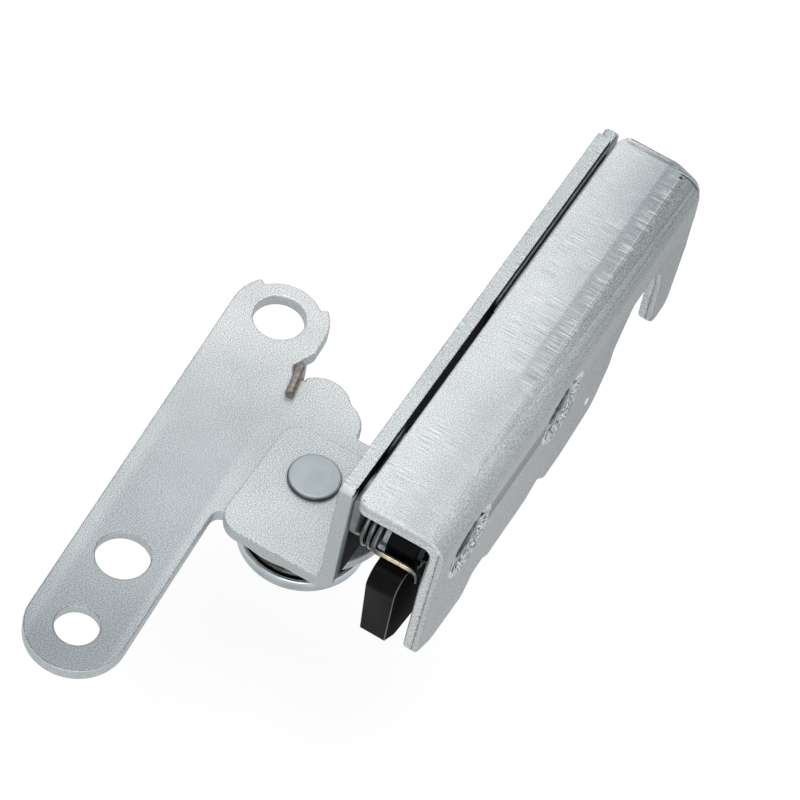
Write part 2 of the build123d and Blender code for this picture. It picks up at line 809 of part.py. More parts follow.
# Rivets through the side plate and the bracket
rivets = []
for name, place in plate_rivets.items():
    rivet_x, rivet_z = at(*place)
    with BuildPart() as plate_rivet:
        for face_y in (side_inner, plate_outer + plate_rivet_head_height):
            with BuildSketch(side_plane(face_y)):
                with Locations((rivet_x, rivet_z)):
                    Circle(plate_rivet_head_r)
            extrude(amount=plate_rivet_head_height)
        with BuildSketch(side_plane(plate_outer)):
            with Locations((rivet_x, rivet_z)):
                Circle(plate_rivet_r)
        extrude(amount=plate_outer - side_inner)
        rims = plate_rivet.edges().filter_by(GeomType.CIRCLE).sort_by(Axis.Y)
        chamfer([rims[0], rims[-1]], 0.5)
    plate_rivet.part.label = name
    rivets.append(plate_rivet.part)

pieces = [
    cover.part, side.part, bracket.part, pivot_rivet, upper_thrust_washer, lower_thrust_washer,
    spring_spool, spring_cup, coil.part, arm.part, pivot_bush, pin.part, e_clip.part, pin_washer_ring,
    spring_sleeve, small_coil.part, lever.part, cheek.part, lever_bush, *rivets,
]
os.makedirs("parts", exist_ok=True)
for piece in pieces:
    export_step(piece, f"parts/{piece.label}.step")
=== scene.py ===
"""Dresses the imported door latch: zinc-plated sheet, springs, rivets, a black lever and the studio stage."""
import json
import math

import bmesh
import bpy
from mathutils import Matrix, Vector

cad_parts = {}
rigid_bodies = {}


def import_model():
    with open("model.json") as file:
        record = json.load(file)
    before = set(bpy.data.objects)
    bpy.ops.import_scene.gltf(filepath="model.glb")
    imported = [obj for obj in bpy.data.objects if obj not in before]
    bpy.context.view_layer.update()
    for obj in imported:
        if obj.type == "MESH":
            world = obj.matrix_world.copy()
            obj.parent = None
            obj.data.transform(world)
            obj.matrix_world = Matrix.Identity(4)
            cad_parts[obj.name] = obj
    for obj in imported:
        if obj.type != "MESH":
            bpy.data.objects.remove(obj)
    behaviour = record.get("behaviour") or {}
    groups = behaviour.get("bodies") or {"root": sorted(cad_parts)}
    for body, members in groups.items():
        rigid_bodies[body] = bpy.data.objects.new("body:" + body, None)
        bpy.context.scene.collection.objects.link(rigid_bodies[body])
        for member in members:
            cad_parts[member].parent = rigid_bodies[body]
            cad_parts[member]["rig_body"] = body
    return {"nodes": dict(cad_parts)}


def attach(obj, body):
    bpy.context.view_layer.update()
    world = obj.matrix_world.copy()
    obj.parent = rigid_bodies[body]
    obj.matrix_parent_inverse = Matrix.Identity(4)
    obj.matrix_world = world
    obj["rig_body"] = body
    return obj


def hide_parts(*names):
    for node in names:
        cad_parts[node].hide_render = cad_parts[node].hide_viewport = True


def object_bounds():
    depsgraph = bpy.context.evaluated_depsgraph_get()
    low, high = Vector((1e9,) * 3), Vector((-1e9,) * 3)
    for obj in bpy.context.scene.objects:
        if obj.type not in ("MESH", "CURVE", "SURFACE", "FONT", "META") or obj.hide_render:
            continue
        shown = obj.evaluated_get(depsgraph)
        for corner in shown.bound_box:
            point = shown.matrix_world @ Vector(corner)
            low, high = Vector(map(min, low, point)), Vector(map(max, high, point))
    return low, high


bl_info = {
    "name": "Door Latch Dressing",
    "version": (1, 0, 0),
    "blender": (4, 5, 0),
    "location": "View3D > Sidebar > Latch",
    "description": "Builds the visible surfaces, finishes and stage of a zinc-plated door latch",
    "category": "Add Mesh",
}

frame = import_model()
cad_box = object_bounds()

MM = 0.001
# Places on the latch in millimetres, on the frame's own axes: X along the cover, Y from inside the flange
# towards the arm, Z up
TOP = 14.0
FLANGE_FACE = -3.0
BEND_Y, BEND_Z, BEND_R = 1.6, 9.4, 4.6
FRONT = -14.0
REAR = 93.0
THREADED_HOLES = (0.0, 37.0)
THREAD_CORE_R, THREAD_DEPTH, THREAD_PITCH = 3.4, 0.46, 1.25
DIMPLE_FLOOR_R = 5.4
PIP_X, PIP_Z, PIP_TOP = 52.0, -14.6, -3.13
ARM_TOP = -19.4
ARM_UNDER = -22.4
ARM_PUNCHED_HOLES = ((-45.56, 52.73, 4.2), (-27.40, 53.85, 5.2))
ARM_LEAN = math.radians(3.53)
PIVOT_X, PIVOT_Y = 6.1, 32.0
PIN_X, PIN_Z = -6.5, 0.7
BRACKET_BACK = 17.2
BRACKET_FACE = 20.2
LEVER_RIGHT = 3.3
# How near a cutting plane a point counts as on it, in millimetres
ON_PLANE = 0.001
# Edges that turn by more than this are eased, and stay sharp in the shading
SHARP_TURN = math.radians(22.0)
# A plated grain is some 0.05 mm across and a draw mark some 0.03 mm wide. Both are drawn coarser, at these sizes
# in millimetres, because no picture holds them finer
GRAIN_MM = 0.2
DRAW_MARK_MM = 0.14
# Share of the fine grain in a plate's pattern; the rest is its broad cloudiness
GRAIN_SHARE = 0.9
# Part of the noise's range that spreads from a finish's dark tone to its light one
GRAIN_LOW, GRAIN_HIGH = 0.38, 0.62
# What the floor gives out to the rays that the eye follows, on top of the light it returns
FLOOR_GLOW = 0.86


# Colours and nodes


def srgb(value):
    """Linear RGBA of an sRGB hex colour such as d2d7da."""
    channels = [int(value[i : i + 2], 16) / 255 for i in (0, 2, 4)]
    linear = [c / 12.92 if c <= 0.04045 else ((c + 0.055) / 1.055) ** 2.4 for c in channels]
    return (*linear, 1.0)


def add_node(tree, kind, settings=None, inputs=None):
    """Adds a node, sets its properties, and feeds its sockets from values or other nodes' outputs."""
    node = tree.nodes.new(kind)
    for name, value in (settings or {}).items():
        setattr(node, name, value)
    for name, value in (inputs or {}).items():
        socket = node.inputs[name]
        if isinstance(value, bpy.types.NodeSocket):
            tree.links.new(value, socket)
        else:
            socket.default_value = value
    return node


def blank_material(name):
    """New material with an empty tree, its output node, and Object coordinates."""
    material = bpy.data.materials.new(name)
    material.use_nodes = True
    tree = material.node_tree
    tree.nodes.clear()
    output = add_node(tree, "ShaderNodeOutputMaterial")
    place = add_node(tree, "ShaderNodeTexCoord").outputs["Object"]
    return material, tree, output, place


def seen_rays(tree):
    """One for the rays that the eye follows, straight or by a reflection or through glass, and else zero."""
    ray = add_node(tree, "ShaderNodeLightPath")
    seen = ray.outputs["Is Camera Ray"]
    for kind in ("Is Glossy Ray", "Is Transmission Ray"):
        seen = add_node(
            tree, "ShaderNodeMath", {"operation": "MAXIMUM"}, {0: seen, 1: ray.outputs[kind]}).outputs["Value"]
    return seen


def zone_amount(tree, place, ramps, ragged=None):
    """How far inside a zone a point is.

    A ramp is (axis, where it starts, where it is full), in millimetres, and may end with how far the ragged
    pattern pushes it.
    """
    split = add_node(tree, "ShaderNodeSeparateXYZ", inputs={"Vector": place})
    amount = 1.0
    for axis, start, full, *push in ramps:
        value = split.outputs[axis]
        if push:
            value = add_node(
                tree, "ShaderNodeMath", {"operation": "MULTIPLY_ADD"}, {0: ragged, 1: push[0] * MM, 2: value}
            ).outputs["Value"]
        ramp = add_node(
            tree, "ShaderNodeMapRange", {"interpolation_type": "SMOOTHSTEP"},
            {"Value": value, "From Min": start * MM, "From Max": full * MM})
        amount = add_node(
            tree, "ShaderNodeMath", {"operation": "MULTIPLY"}, {0: amount, 1: ramp.outputs["Result"]}
        ).outputs["Value"]
    return amount


def shaded(tree, place, tone, zones, ragged=None):
    """Tone darkened zone by zone. A zone is its ramps and then the tint that multiplies the tone there."""
    for *ramps, tint in zones:
        tone = add_node(
            tree, "ShaderNodeMix", {"data_type": "RGBA", "blend_type": "MULTIPLY"},
            {"Factor": zone_amount(tree, place, ramps, ragged), "A": tone, "B": srgb(tint)},
        ).outputs["Result"]
    return tone


def plated_steel(
        name, light, dark, zones=(), turn=0.0, roughness=0.5, metallic=0.35, relief=0.25, scratches=(),
        pebbles=None):
    """Zinc-plated steel, rolled or blasted before plating.

    Each of the scratches is (strength, patch_mm, light, dark, *ramps), and pebbles are (size_mm, strength,
    ramps). The scratches run along Y, as the sheet was drawn over its tool, and the zones lie on axes turned by
    turn about Z.
    """
    material, tree, output, place = blank_material(name)
    cloud = add_node(
        tree, "ShaderNodeTexNoise", inputs={"Vector": place, "Scale": 1 / (14 * MM), "Detail": 3.0}
    ).outputs["Fac"]
    grain = add_node(
        tree, "ShaderNodeTexNoise",
        inputs={"Vector": place, "Scale": 1 / (GRAIN_MM * MM), "Detail": 2.0, "Roughness": 0.6}
    ).outputs["Fac"]
    blend = add_node(
        tree, "ShaderNodeMix", {"data_type": "FLOAT"}, {"Factor": GRAIN_SHARE, "A": cloud, "B": grain}
    ).outputs["Result"]
    spread = add_node(
        tree, "ShaderNodeMapRange", inputs={"Value": blend, "From Min": GRAIN_LOW, "From Max": GRAIN_HIGH}
    ).outputs["Result"]
    tone = add_node(
        tree, "ShaderNodeMix", {"data_type": "RGBA"}, {"Factor": spread, "A": srgb(dark), "B": srgb(light)}
    ).outputs["Result"]
    stretched = add_node(tree, "ShaderNodeMapping", inputs={"Vector": place, "Scale": (1.0, 0.03, 1.0)})
    lines = add_node(
        tree, "ShaderNodeTexNoise",
        inputs={"Vector": stretched.outputs["Vector"], "Scale": 1 / (DRAW_MARK_MM * MM), "Detail": 2.0}
    ).outputs["Fac"]
    along = add_node(
        tree, "ShaderNodeMapping", inputs={"Vector": place, "Rotation": (0.0, 0.0, turn)}
    ).outputs["Vector"]
    tone = shaded(tree, along, tone, zones, lines)
    height = grain
    if pebbles:
        size_mm, strength, ramps = pebbles
        lumps = add_node(
            tree, "ShaderNodeTexNoise", inputs={"Vector": place, "Scale": 1 / (size_mm * MM), "Detail": 1.0}
        ).outputs["Fac"]
        share = add_node(
            tree, "ShaderNodeMath", {"operation": "MULTIPLY"},
            {0: zone_amount(tree, place, ramps), 1: strength}).outputs["Value"]
        height = add_node(
            tree, "ShaderNodeMath", {"operation": "MULTIPLY_ADD"}, {0: lumps, 1: share, 2: height}
        ).outputs["Value"]
    for share, patch_mm, light_mark, dark_mark, *ramps in scratches:
        patches = add_node(
            tree, "ShaderNodeTexNoise", inputs={"Vector": place, "Scale": 1 / (patch_mm * MM), "Detail": 3.0}
        ).outputs["Fac"]
        bare = add_node(
            tree, "ShaderNodeMapRange",
            inputs={"Value": patches, "From Min": 0.4, "From Max": 0.6, "To Max": share}).outputs["Result"]
        worn = add_node(
            tree, "ShaderNodeMath", {"operation": "MULTIPLY"},
            {0: bare, 1: zone_amount(tree, place, ramps, lines)}).outputs["Value"]
        for low, high, mark in ((0.54, 0.62, light_mark), (0.47, 0.39, dark_mark)):
            cut = add_node(
                tree, "ShaderNodeMapRange", inputs={"Value": lines, "From Min": low, "From Max": high}
            ).outputs["Result"]
            cut = add_node(tree, "ShaderNodeMath", {"operation": "MULTIPLY"}, {0: cut, 1: worn}).outputs["Value"]
            tone = add_node(
                tree, "ShaderNodeMix", {"data_type": "RGBA"}, {"Factor": cut, "A": tone, "B": srgb(mark)}
            ).outputs["Result"]
        height = add_node(
            tree, "ShaderNodeMath", {"operation": "MULTIPLY_ADD"}, {0: lines, 1: worn, 2: height}
        ).outputs["Value"]
    gloss = add_node(
        tree, "ShaderNodeMapRange",
        inputs={"Value": cloud, "From Min": 0.3, "From Max": 0.7, "To Min": roughness - 0.04,
                "To Max": roughness + 0.04}).outputs["Result"]
    bump = add_node(
        tree, "ShaderNodeBump", inputs={"Strength": relief, "Distance": 0.04 * MM, "Height": height})
    shader = add_node(
        tree, "ShaderNodeBsdfPrincipled",
        inputs={"Base Color": tone, "Metallic": metallic, "Roughness": gloss, "Normal": bump.outputs["Normal"]})
    tree.links.new(shader.outputs["BSDF"], output.inputs["Surface"])
    return material


def sheared_edge(name, light, dark, torn=(), seams=()):
    """Plated edge of sheet that a press has cut: smooth where it was cut, bright and rough where it tore.

    Each torn place is its ramps, and each seam is its ramps and the tint that darkens it.
    """
    material, tree, output, place = blank_material(name)
    grain = add_node(
        tree, "ShaderNodeTexNoise",
        inputs={"Vector": place, "Scale": 1 / (0.3 * MM), "Detail": 2.0, "Roughness": 0.6}).outputs["Fac"]
    spread = add_node(
        tree, "ShaderNodeMapRange", inputs={"Value": grain, "From Min": GRAIN_LOW, "From Max": GRAIN_HIGH}
    ).outputs["Result"]
    tone = add_node(
        tree, "ShaderNodeMix", {"data_type": "RGBA"}, {"Factor": spread, "A": srgb(dark), "B": srgb(light)}
    ).outputs["Result"]
    tone = shaded(tree, place, tone, seams)
    inside = 0.0
    for ramps in torn:
        inside = add_node(
            tree, "ShaderNodeMath", {"operation": "MAXIMUM"}, {0: inside, 1: zone_amount(tree, place, ramps)}
        ).outputs["Value"]
    depth = grain
    if torn:
        tone = add_node(
            tree, "ShaderNodeMix", {"data_type": "RGBA"},
            {"Factor": add_node(
                tree, "ShaderNodeMath", {"operation": "MULTIPLY"}, {0: inside, 1: spread}).outputs["Value"],
             "A": tone, "B": srgb("f2f5f6")}).outputs["Result"]
        depth = add_node(
            tree, "ShaderNodeMath", {"operation": "MULTIPLY"},
            {0: grain, 1: add_node(
                tree, "ShaderNodeMapRange", inputs={"Value": inside, "To Min": 0.2, "To Max": 1.5}
            ).outputs["Result"]}).outputs["Value"]
    bump = add_node(
        tree, "ShaderNodeBump", inputs={"Strength": 0.4, "Distance": 0.05 * MM, "Height": depth})
    shader = add_node(
        tree, "ShaderNodeBsdfPrincipled",
        inputs={"Base Color": tone, "Metallic": 0.35, "Roughness": 0.45, "Normal": bump.outputs["Normal"]})
    tree.links.new(shader.outputs["BSDF"], output.inputs["Surface"])
    return material


def smooth_steel(name, light, dark, roughness=0.3, metallic=1.0, grain_mm=1.5, zones=(), specular=0.5):
    """Turned, drawn, tapped or oiled steel, nearly free of grain, and the plain tones that carry painted shade and
    painted highlights.
    """
    material, tree, output, place = blank_material(name)
    haze = add_node(
        tree, "ShaderNodeTexNoise", inputs={"Vector": place, "Scale": 1 / (grain_mm * MM), "Detail": 3.0}
    ).outputs["Fac"]
    tone = add_node(
        tree, "ShaderNodeMix", {"data_type": "RGBA"},
        {"Factor": add_node(
            tree, "ShaderNodeMapRange", inputs={"Value": haze, "From Min": 0.35, "From Max": 0.65}
        ).outputs["Result"], "A": srgb(dark), "B": srgb(light)}).outputs["Result"]
    tone = shaded(tree, place, tone, zones)
    gloss = add_node(
        tree, "ShaderNodeMapRange",
        inputs={"Value": haze, "From Min": 0.3, "From Max": 0.7, "To Min": roughness - 0.04,
                "To Max": roughness + 0.05}).outputs["Result"]
    bump = add_node(
        tree, "ShaderNodeBump", inputs={"Strength": 0.08, "Distance": 0.03 * MM, "Height": haze})
    shader = add_node(
        tree, "ShaderNodeBsdfPrincipled",
        inputs={
            "Base Color": tone, "Metallic": metallic, "Roughness": gloss, "Normal": bump.outputs["Normal"],
            "Specular IOR Level": specular,
        })
    tree.links.new(shader.outputs["BSDF"], output.inputs["Surface"])
    return material


def moulded_nylon(name, light, dark, roughness=0.42, specular=0.25):
    """Black glass-filled nylon, moulded in a spark-eroded tool."""
    material, tree, output, place = blank_material(name)
    grain = add_node(
        tree, "ShaderNodeTexNoise", inputs={"Vector": place, "Scale": 1 / (0.3 * MM), "Detail": 3.0}
    ).outputs["Fac"]
    cloud = add_node(
        tree, "ShaderNodeTexNoise", inputs={"Vector": place, "Scale": 1 / (5 * MM), "Detail": 2.0}
    ).outputs["Fac"]
    tone = add_node(
        tree, "ShaderNodeMix", {"data_type": "RGBA"}, {"Factor": cloud, "A": srgb(dark), "B": srgb(light)}
    ).outputs["Result"]
    gloss = add_node(
        tree, "ShaderNodeMapRange",
        inputs={"Value": grain, "From Min": 0.3, "From Max": 0.7, "To Min": roughness - 0.06,
                "To Max": roughness + 0.06}).outputs["Result"]
    bump = add_node(
        tree, "ShaderNodeBump", inputs={"Strength": 0.15, "Distance": 0.02 * MM, "Height": grain})
    shader = add_node(
        tree, "ShaderNodeBsdfPrincipled",
        inputs={"Base Color": tone, "Roughness": gloss, "Specular IOR Level": specular,
                "Normal": bump.outputs["Normal"]})
    tree.links.new(shader.outputs["BSDF"], output.inputs["Surface"])
    return material


# Pieces


def place_piece(name, mesh, material, node):
    """Makes a mesh a piece that stands for a CAD node and moves with its body."""
    piece = bpy.data.objects.new(name, mesh)
    bpy.context.scene.collection.objects.link(piece)
    mesh.materials.append(material)
    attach(piece, frame["nodes"][node]["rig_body"])
    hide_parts(node)
    return piece


def merged_copy(node):
    """Copy of a CAD node's mesh with its triangles joined into whole faces."""
    shape = bmesh.new()
    shape.from_mesh(frame["nodes"][node].data)
    bmesh.ops.remove_doubles(shape, verts=shape.verts, dist=0.002 * MM)
    bmesh.ops.dissolve_limit(
        shape, angle_limit=math.radians(0.5), verts=shape.verts, edges=shape.edges, use_dissolve_boundaries=False)
    return shape


def eased_piece(shape, name, node, material, edge_mm, segments=3, weigh=None):
    """Finishes a copy of a CAD node with its sharp edges eased, as blanking, tumbling and plating leave them.

    weigh gives an edge's share of the easing from its middle in millimetres.
    """
    share = shape.edges.layers.float.new("bevel_weight_edge")
    for edge in shape.edges:
        if len(edge.link_faces) == 2 and edge.calc_face_angle(0.0) > SHARP_TURN:
            middle = (edge.verts[0].co + edge.verts[1].co) / (2 * MM)
            edge[share] = weigh(middle) if weigh else 1.0
    mesh = bpy.data.meshes.new(name)
    shape.to_mesh(mesh)
    shape.free()
    piece = place_piece(name, mesh, material, node)
    for polygon in mesh.polygons:
        polygon.use_smooth = True
    mesh.set_sharp_from_angle(angle=SHARP_TURN)
    bevel = piece.modifiers.new("eased_edges", "BEVEL")
    bevel.width = edge_mm * MM
    bevel.segments = segments
    bevel.limit_method = "WEIGHT"
    bevel.harden_normals = True
    bevel.use_clamp_overlap = False
    return piece


def second_finish(piece, material, chosen):
    """Gives a piece's chosen faces another material."""
    piece.data.materials.append(material)
    index = len(piece.data.materials) - 1
    for polygon in piece.data.polygons:
        if chosen(polygon.center / MM, polygon.normal):
            polygon.material_index = index


def refinish(node, material):
    """Gives a CAD node its finish."""
    target = frame["nodes"][node]
    target.data.materials.clear()
    target.data.materials.append(material)


def round_corner(shape, radius_mm):
    """Files the cover's far corner round, with flat strokes that touch a ball inside it."""
    centre = Vector((REAR - radius_mm, FLANGE_FACE + radius_mm, TOP - radius_mm)) * MM
    for rise in (10, 22, 34, 46, 58):
        for swing in (20, 35, 50, 65):
            up, aside = math.radians(rise), math.radians(swing)
            normal = Vector((math.cos(up) * math.cos(aside), -math.cos(up) * math.sin(aside), math.sin(up)))
            cut = bmesh.ops.bisect_plane(
                shape, geom=[*shape.verts, *shape.edges, *shape.faces], dist=ON_PLANE * MM,
                plane_co=centre + normal * radius_mm * MM, plane_no=normal, clear_outer=True)
            rim = [item for item in cut["geom_cut"] if isinstance(item, bmesh.types.BMEdge)]
            bmesh.ops.edgeloop_fill(shape, edges=rim)


def square_front(shape):
    """Gathers the fans of thin triangles behind the front end into square strips, so that its border eases."""
    cut = bmesh.ops.bisect_plane(
        shape, geom=[*shape.verts, *shape.edges, *shape.faces], dist=ON_PLANE * MM,
        plane_co=((FRONT + 1.0) * MM, 0, 0), plane_no=(1, 0, 0))
    rim = [item for item in cut["geom_cut"] if isinstance(item, bmesh.types.BMVert)]
    bmesh.ops.remove_doubles(shape, verts=rim, dist=0.15 * MM)


def crease_flange(shape, depth_mm):
    """Sets the flange in along a line through its threaded holes, as the press that formed it left it."""
    bend_at = (TOP - BEND_R) * MM
    foot = min(vert.co.z for vert in shape.verts)
    for level in (0.0, bend_at):
        flange = [face for face in shape.faces if max(vert.co.y for vert in face.verts) < 0.6 * MM]
        edges = {edge for face in flange for edge in face.edges}
        verts = {vert for face in flange for vert in face.verts}
        bmesh.ops.bisect_plane(
            shape, geom=[*verts, *edges, *flange], dist=ON_PLANE * MM, plane_co=(0, 0, level), plane_no=(0, 0, 1))
    for vert in shape.verts:
        z = vert.co.z
        if vert.co.y < 2.2 * MM and z < bend_at:
            share = (bend_at - z) / bend_at if z > 0 else 1 - z / foot
            vert.co.y += depth_mm * MM * share


def around_hole(vert, hole_x):
    """Vector from a threaded hole's axis to a vertex."""
    return Vector((vert.co.x - hole_x * MM, 0, vert.co.z))


def shallow_dimples(shape):
    """Brings the dimples' floors out, so that the threads show from above."""
    floor_at, lift = -0.8, 0.7
    for hole_x in THREADED_HOLES:
        for vert in shape.verts:
            if around_hole(vert, hole_x).length < DIMPLE_FLOOR_R * MM and vert.co.y < floor_at * MM:
                vert.co.y -= lift * MM


def raise_pip(shape):
    """Turns the flange's small pressed mark into a low pip."""
    for vert in shape.verts:
        out = Vector((vert.co.x - PIP_X * MM, 0, vert.co.z - PIP_Z * MM))
        if out.length < 1.0 * MM and -2.95 * MM < vert.co.y < -1.5 * MM:
            vert.co.y = PIP_TOP * MM
            vert.co -= out * 0.35


def cover_easing(middle):
    """Share of the cover's easing that an edge takes: none at the threads, the pip and the corner's seam."""
    for hole_x in THREADED_HOLES:
        if math.hypot(middle.x - hole_x, middle.z) < 6.0:
            return 0.0
    at_pip = math.hypot(middle.x - PIP_X, middle.z - PIP_Z) < 1.2
    if at_pip or middle.x > 88.0 and middle.y < 9.0 and middle.z > 6.0:
        return 0.0
    outside = middle.z > TOP - 0.1 or middle.y < FLANGE_FACE + 1.0 or (
        middle.y < BEND_R and math.hypot(middle.y - BEND_Y, middle.z - BEND_Z) > BEND_R - 0.2)
    return 1.0 if outside else 0.6


def cut_threads(shape):
    """Opens each tapped bore to the thread's root and winds the thread's ridge inside it."""
    root_r = THREAD_CORE_R + THREAD_DEPTH
    for hole_x in THREADED_HOLES:
        for vert in shape.verts:
            out = around_hole(vert, hole_x)
            if abs(out.length - THREAD_CORE_R * MM) < 0.06 * MM and abs(vert.co.y) < 3 * MM:
                vert.co += out.normalized() * THREAD_DEPTH * MM
        ridge = bmesh.new()
        profile = [(root_r + 0.08, -0.5), (THREAD_CORE_R, -0.1), (THREAD_CORE_R, 0.1), (root_r + 0.08, 0.5)]
        verts = [ridge.verts.new(((hole_x + r) * MM, (y - 2.5) * MM, 0)) for r, y in profile]
        edges = [ridge.edges.new(pair) for pair in zip(verts, verts[1:])]
        turns = 4
        steps = 32 * turns
        bmesh.ops.spin(
            ridge, geom=[*verts, *edges], cent=(hole_x * MM, 0, 0), axis=(0, 1, 0),
            dvec=(0, THREAD_PITCH * MM * turns / steps, 0), angle=2 * math.pi * turns, steps=steps, use_merge=False)
        for side, level in ((-1, -2.0), (1, 1.3)):
            bmesh.ops.bisect_plane(
                ridge, geom=[*ridge.verts, *ridge.edges, *ridge.faces], dist=ON_PLANE * MM,
                plane_co=(0, level * MM, 0), plane_no=(0, side, 0), clear_outer=True)
        bmesh.ops.recalc_face_normals(ridge, faces=ridge.faces)
        inward = 0.0
        for face in ridge.faces:
            at = face.calc_center_median()
            inward += Vector((hole_x * MM - at.x, 0, -at.z)).dot(face.normal)
        if inward < 0:
            bmesh.ops.reverse_faces(ridge, faces=ridge.faces)
        joined = bpy.data.meshes.new("thread_ridge")
        ridge.to_mesh(joined)
        ridge.free()
        shape.from_mesh(joined)
        bpy.data.meshes.remove(joined)


def round_wire(name, node, points_mm, radius_mm, material):
    """Smooth drawn wire along control points, with its ends cut square, made a mesh."""
    line = bpy.data.curves.new(name + "_line", "CURVE")
    line.dimensions = "3D"
    line.bevel_depth = radius_mm * MM
    line.bevel_resolution = 5
    line.use_fill_caps = True
    line.resolution_u = 3
    spline = line.splines.new("NURBS")
    spline.points.add(len(points_mm) - 1)
    for point, place in zip(spline.points, points_mm):
        point.co = (*(Vector(place) * MM), 1.0)
    spline.order_u = 4
    spline.use_endpoint_u = True
    holder = bpy.data.objects.new(name + "_line", line)
    bpy.context.scene.collection.objects.link(holder)
    bpy.context.view_layer.update()
    mesh = bpy.data.meshes.new_from_object(holder.evaluated_get(bpy.context.evaluated_depsgraph_get()))
    bpy.data.objects.remove(holder)
    bpy.data.curves.remove(line)
    mesh.name = name
    mesh.materials.clear()
    for polygon in mesh.polygons:
        polygon.use_smooth = True
    mesh.set_sharp_from_angle(angle=math.radians(50))
    return place_piece(name, mesh, material, node)


class LatchFinish(bpy.types.PropertyGroup):
    """Sizes of the eased edges, the flange's crease and the far corner."""

    cover_edge: bpy.props.FloatProperty(
        name="Cover edge", description="Easing of the cover's outer edges, in millimetres", default=0.6)
    arm_edge: bpy.props.FloatProperty(
        name="Arm edge", description="Easing of the arm's edges, in millimetres", default=0.5)
    bracket_edge: bpy.props.FloatProperty(
        name="Bracket edge", description="Easing of the bracket's edges, in millimetres", default=0.35)
    lever_edge: bpy.props.FloatProperty(
        name="Lever edge", description="Easing of the lever's edges, in millimetres", default=0.3)
    crease_depth: bpy.props.FloatProperty(
        name="Flange crease", description="Set of the flange at its crease, in millimetres", default=0.35)
    corner_r: bpy.props.FloatProperty(
        name="Corner radius", description="Radius of the cover's far corner, in millimetres", default=4.0)


class LatchStage(bpy.types.PropertyGroup):
    """Camera and lamps."""

    azimuth: bpy.props.FloatProperty(
        name="Azimuth", description="Angle of the camera round the latch", default=math.radians(-71.75),
        subtype="ANGLE")
    elevation: bpy.props.FloatProperty(
        name="Elevation", description="Angle of the camera above the latch", default=math.radians(53.16),
        subtype="ANGLE")
    roll: bpy.props.FloatProperty(
        name="Roll", description="Turn of the picture about its centre", default=math.radians(13.77),
        subtype="ANGLE")
    distance: bpy.props.FloatProperty(
        name="Distance", description="Camera to target", default=0.809, subtype="DISTANCE", unit="LENGTH")
    target: bpy.props.FloatVectorProperty(
        name="Target", description="Point the camera looks at", default=(0.0106, 0.0206, 0.014),
        subtype="TRANSLATION", unit="LENGTH")
    focal_mm: bpy.props.FloatProperty(
        name="Focal length", description="Lens on a 36 mm sensor, in millimetres", default=197.0)
    world_level: bpy.props.FloatProperty(
        name="World level", description="Strength of the even light", default=0.36)
    key_watts: bpy.props.FloatProperty(
        name="Key lamp", description="Power of the soft lamp above", default=2.75, unit="POWER")
    key_place: bpy.props.FloatVectorProperty(
        name="Key place", description="Where the soft lamp hangs", default=(0.10, 0.06, 0.75),
        subtype="TRANSLATION", unit="LENGTH")
    key_size: bpy.props.FloatProperty(
        name="Key size", description="Width of the soft lamp", default=0.7, subtype="DISTANCE", unit="LENGTH")
    fill_watts: bpy.props.FloatProperty(
        name="Fill lamp", description="Power of the low lamp before the front end", default=1.5, unit="POWER")
    fill_place: bpy.props.FloatVectorProperty(
        name="Fill place", description="Where the low lamp stands", default=(-0.7, -0.25, 0.25),
        subtype="TRANSLATION", unit="LENGTH")
    fill_size: bpy.props.FloatProperty(
        name="Fill size", description="Width of the low lamp", default=0.5, subtype="DISTANCE", unit="LENGTH")


